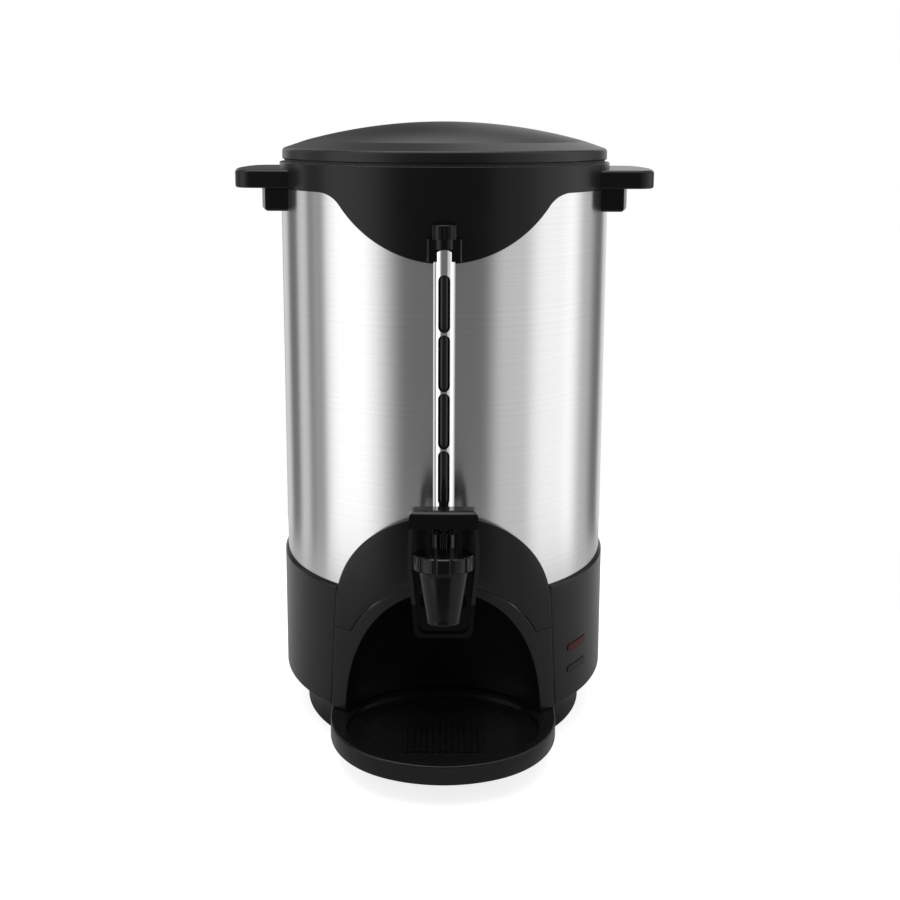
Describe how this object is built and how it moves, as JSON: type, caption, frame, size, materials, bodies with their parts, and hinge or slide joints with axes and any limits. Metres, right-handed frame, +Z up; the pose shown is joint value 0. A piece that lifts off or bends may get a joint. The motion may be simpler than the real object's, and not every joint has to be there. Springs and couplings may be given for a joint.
{
  "type": "coffee urn",
  "caption": "Tall double-walled steel coffee urn with lift-off lid, side handles, sight gauge, push-lever tap over a cup niche, and lift-out drip dish.",
  "frame": {"origin": "on the vessel's axis at floor level, in the plane of the foot ring", "axes": "+Z up along the vessel's axis; -Y towards the tap and drip tray; +X to the right seen from the front"},
  "size_m": [0.292, 0.2889, 0.4252],
  "materials": {
    "black_plastic": "satin, fine grained moulding",
    "lid_plastic": "satin",
    "tap_plastic": "glossy black",
    "shell_steel": "brushed round the circumference",
    "tank_steel": "plain drawn steel",
    "guard_chrome": "bright half-round channel",
    "gauge_glass": "clear tube",
    "silicone": "food-grade silicone",
    "foot_rubber": "matte",
    "screw_steel": "zinc plated",
    "spring_steel": "stainless wire",
    "plate_aluminium": "cast",
    "element_sheath": "dull sheath",
    "ceramic_white": "matte",
    "block_plastic": "matte",
    "wire_jacket": "silicone sleeve",
    "red_lens": "translucent red",
    "green_lens": "translucent green"
  },
  "bodies": {
    "urn": {"base_pan": "black_plastic", "foot_pads": "foot_rubber", "base_screws": "screw_steel", "tie_stud": "screw_steel", "tie_nut": "screw_steel", "base_skirt": "black_plastic", "niche_housing": "black_plastic", "tap_cover": "black_plastic", "drip_tray": "black_plastic", "outer_shell": "shell_steel", "inner_tank": "tank_steel", "collar": "black_plastic", "handle_right": "black_plastic", "handle_left": "black_plastic", "handle_screws": "screw_steel", "gauge_guard": "guard_chrome", "gauge_glass": "gauge_glass", "gauge_bracket": "tap_plastic", "gauge_cap": "tap_plastic", "tap_body": "tap_plastic", "tap_nut": "tap_plastic", "tap_inner_gasket": "silicone", "tap_outer_gasket": "silicone", "tap_bonnet": "tap_plastic", "valve_spring": "spring_steel", "heater_plate": "plate_aluminium", "main_element": "element_sheath", "keep_warm_element": "element_sheath", "thermostat": "plate_aluminium", "thermal_fuse": "ceramic_white", "terminal_block": "block_plastic", "cord_gland": "black_plastic", "wiring": "wire_jacket", "heating_lamp_lens": "red_lens", "serving_lamp_lens": "green_lens", "lamp_holder": "block_plastic"},
    "lid": {"lid": "lid_plastic", "lid_seal": "silicone"},
    "brewing_set": {"riser_tube": "tank_steel", "riser_foot": "tank_steel", "coffee_basket": "tank_steel"},
    "basket_lid": {"basket_cover": "tank_steel"},
    "lever": {"tap_lever": "tap_plastic", "lever_pin": "spring_steel"},
    "stem": {"tap_stem": "tap_plastic", "valve_cup": "silicone"},
    "dish": {"drip_dish": "black_plastic"}
  },
  "joints": [
    {"name": "lid_lift", "type": "slide", "parent": "urn", "child": "lid", "axis": [0, 0, 1], "range_m": [0, 0.3]},
    {"name": "brewing_set_lift", "type": "slide", "parent": "urn", "child": "brewing_set", "axis": [0, 0, 1], "range_m": [0, 0.286]},
    {"name": "basket_cover_lift", "type": "slide", "parent": "brewing_set", "child": "basket_lid", "axis": [0, 0, 1], "range_m": [0, 0.034]},
    {"name": "lever_push", "type": "hinge", "parent": "urn", "child": "lever", "pos_m": [0, -0.1517, 0.18511], "axis": [1, 0, 0], "range_deg": [0, 10], "stiffness_Nm_per_rad": 0.3, "springref_deg": -17.19},
    {"name": "stem_lift", "type": "slide", "parent": "urn", "child": "stem", "axis": [0, 0.1564, 0.9877], "range_m": [0, 0.0023], "deforming": ["valve_spring"]},
    {"name": "dish_lift", "type": "slide", "parent": "urn", "child": "dish", "axis": [0, 0, 1], "range_m": [0, 0.035]}
  ],
  "couplings": [
    {"joint": "brewing_set_lift", "follows": "lid_lift", "ratio": 0.95},
    {"joint": "stem_lift", "follows": "lever_push", "m_per_rad": 0.012605}
  ]
}
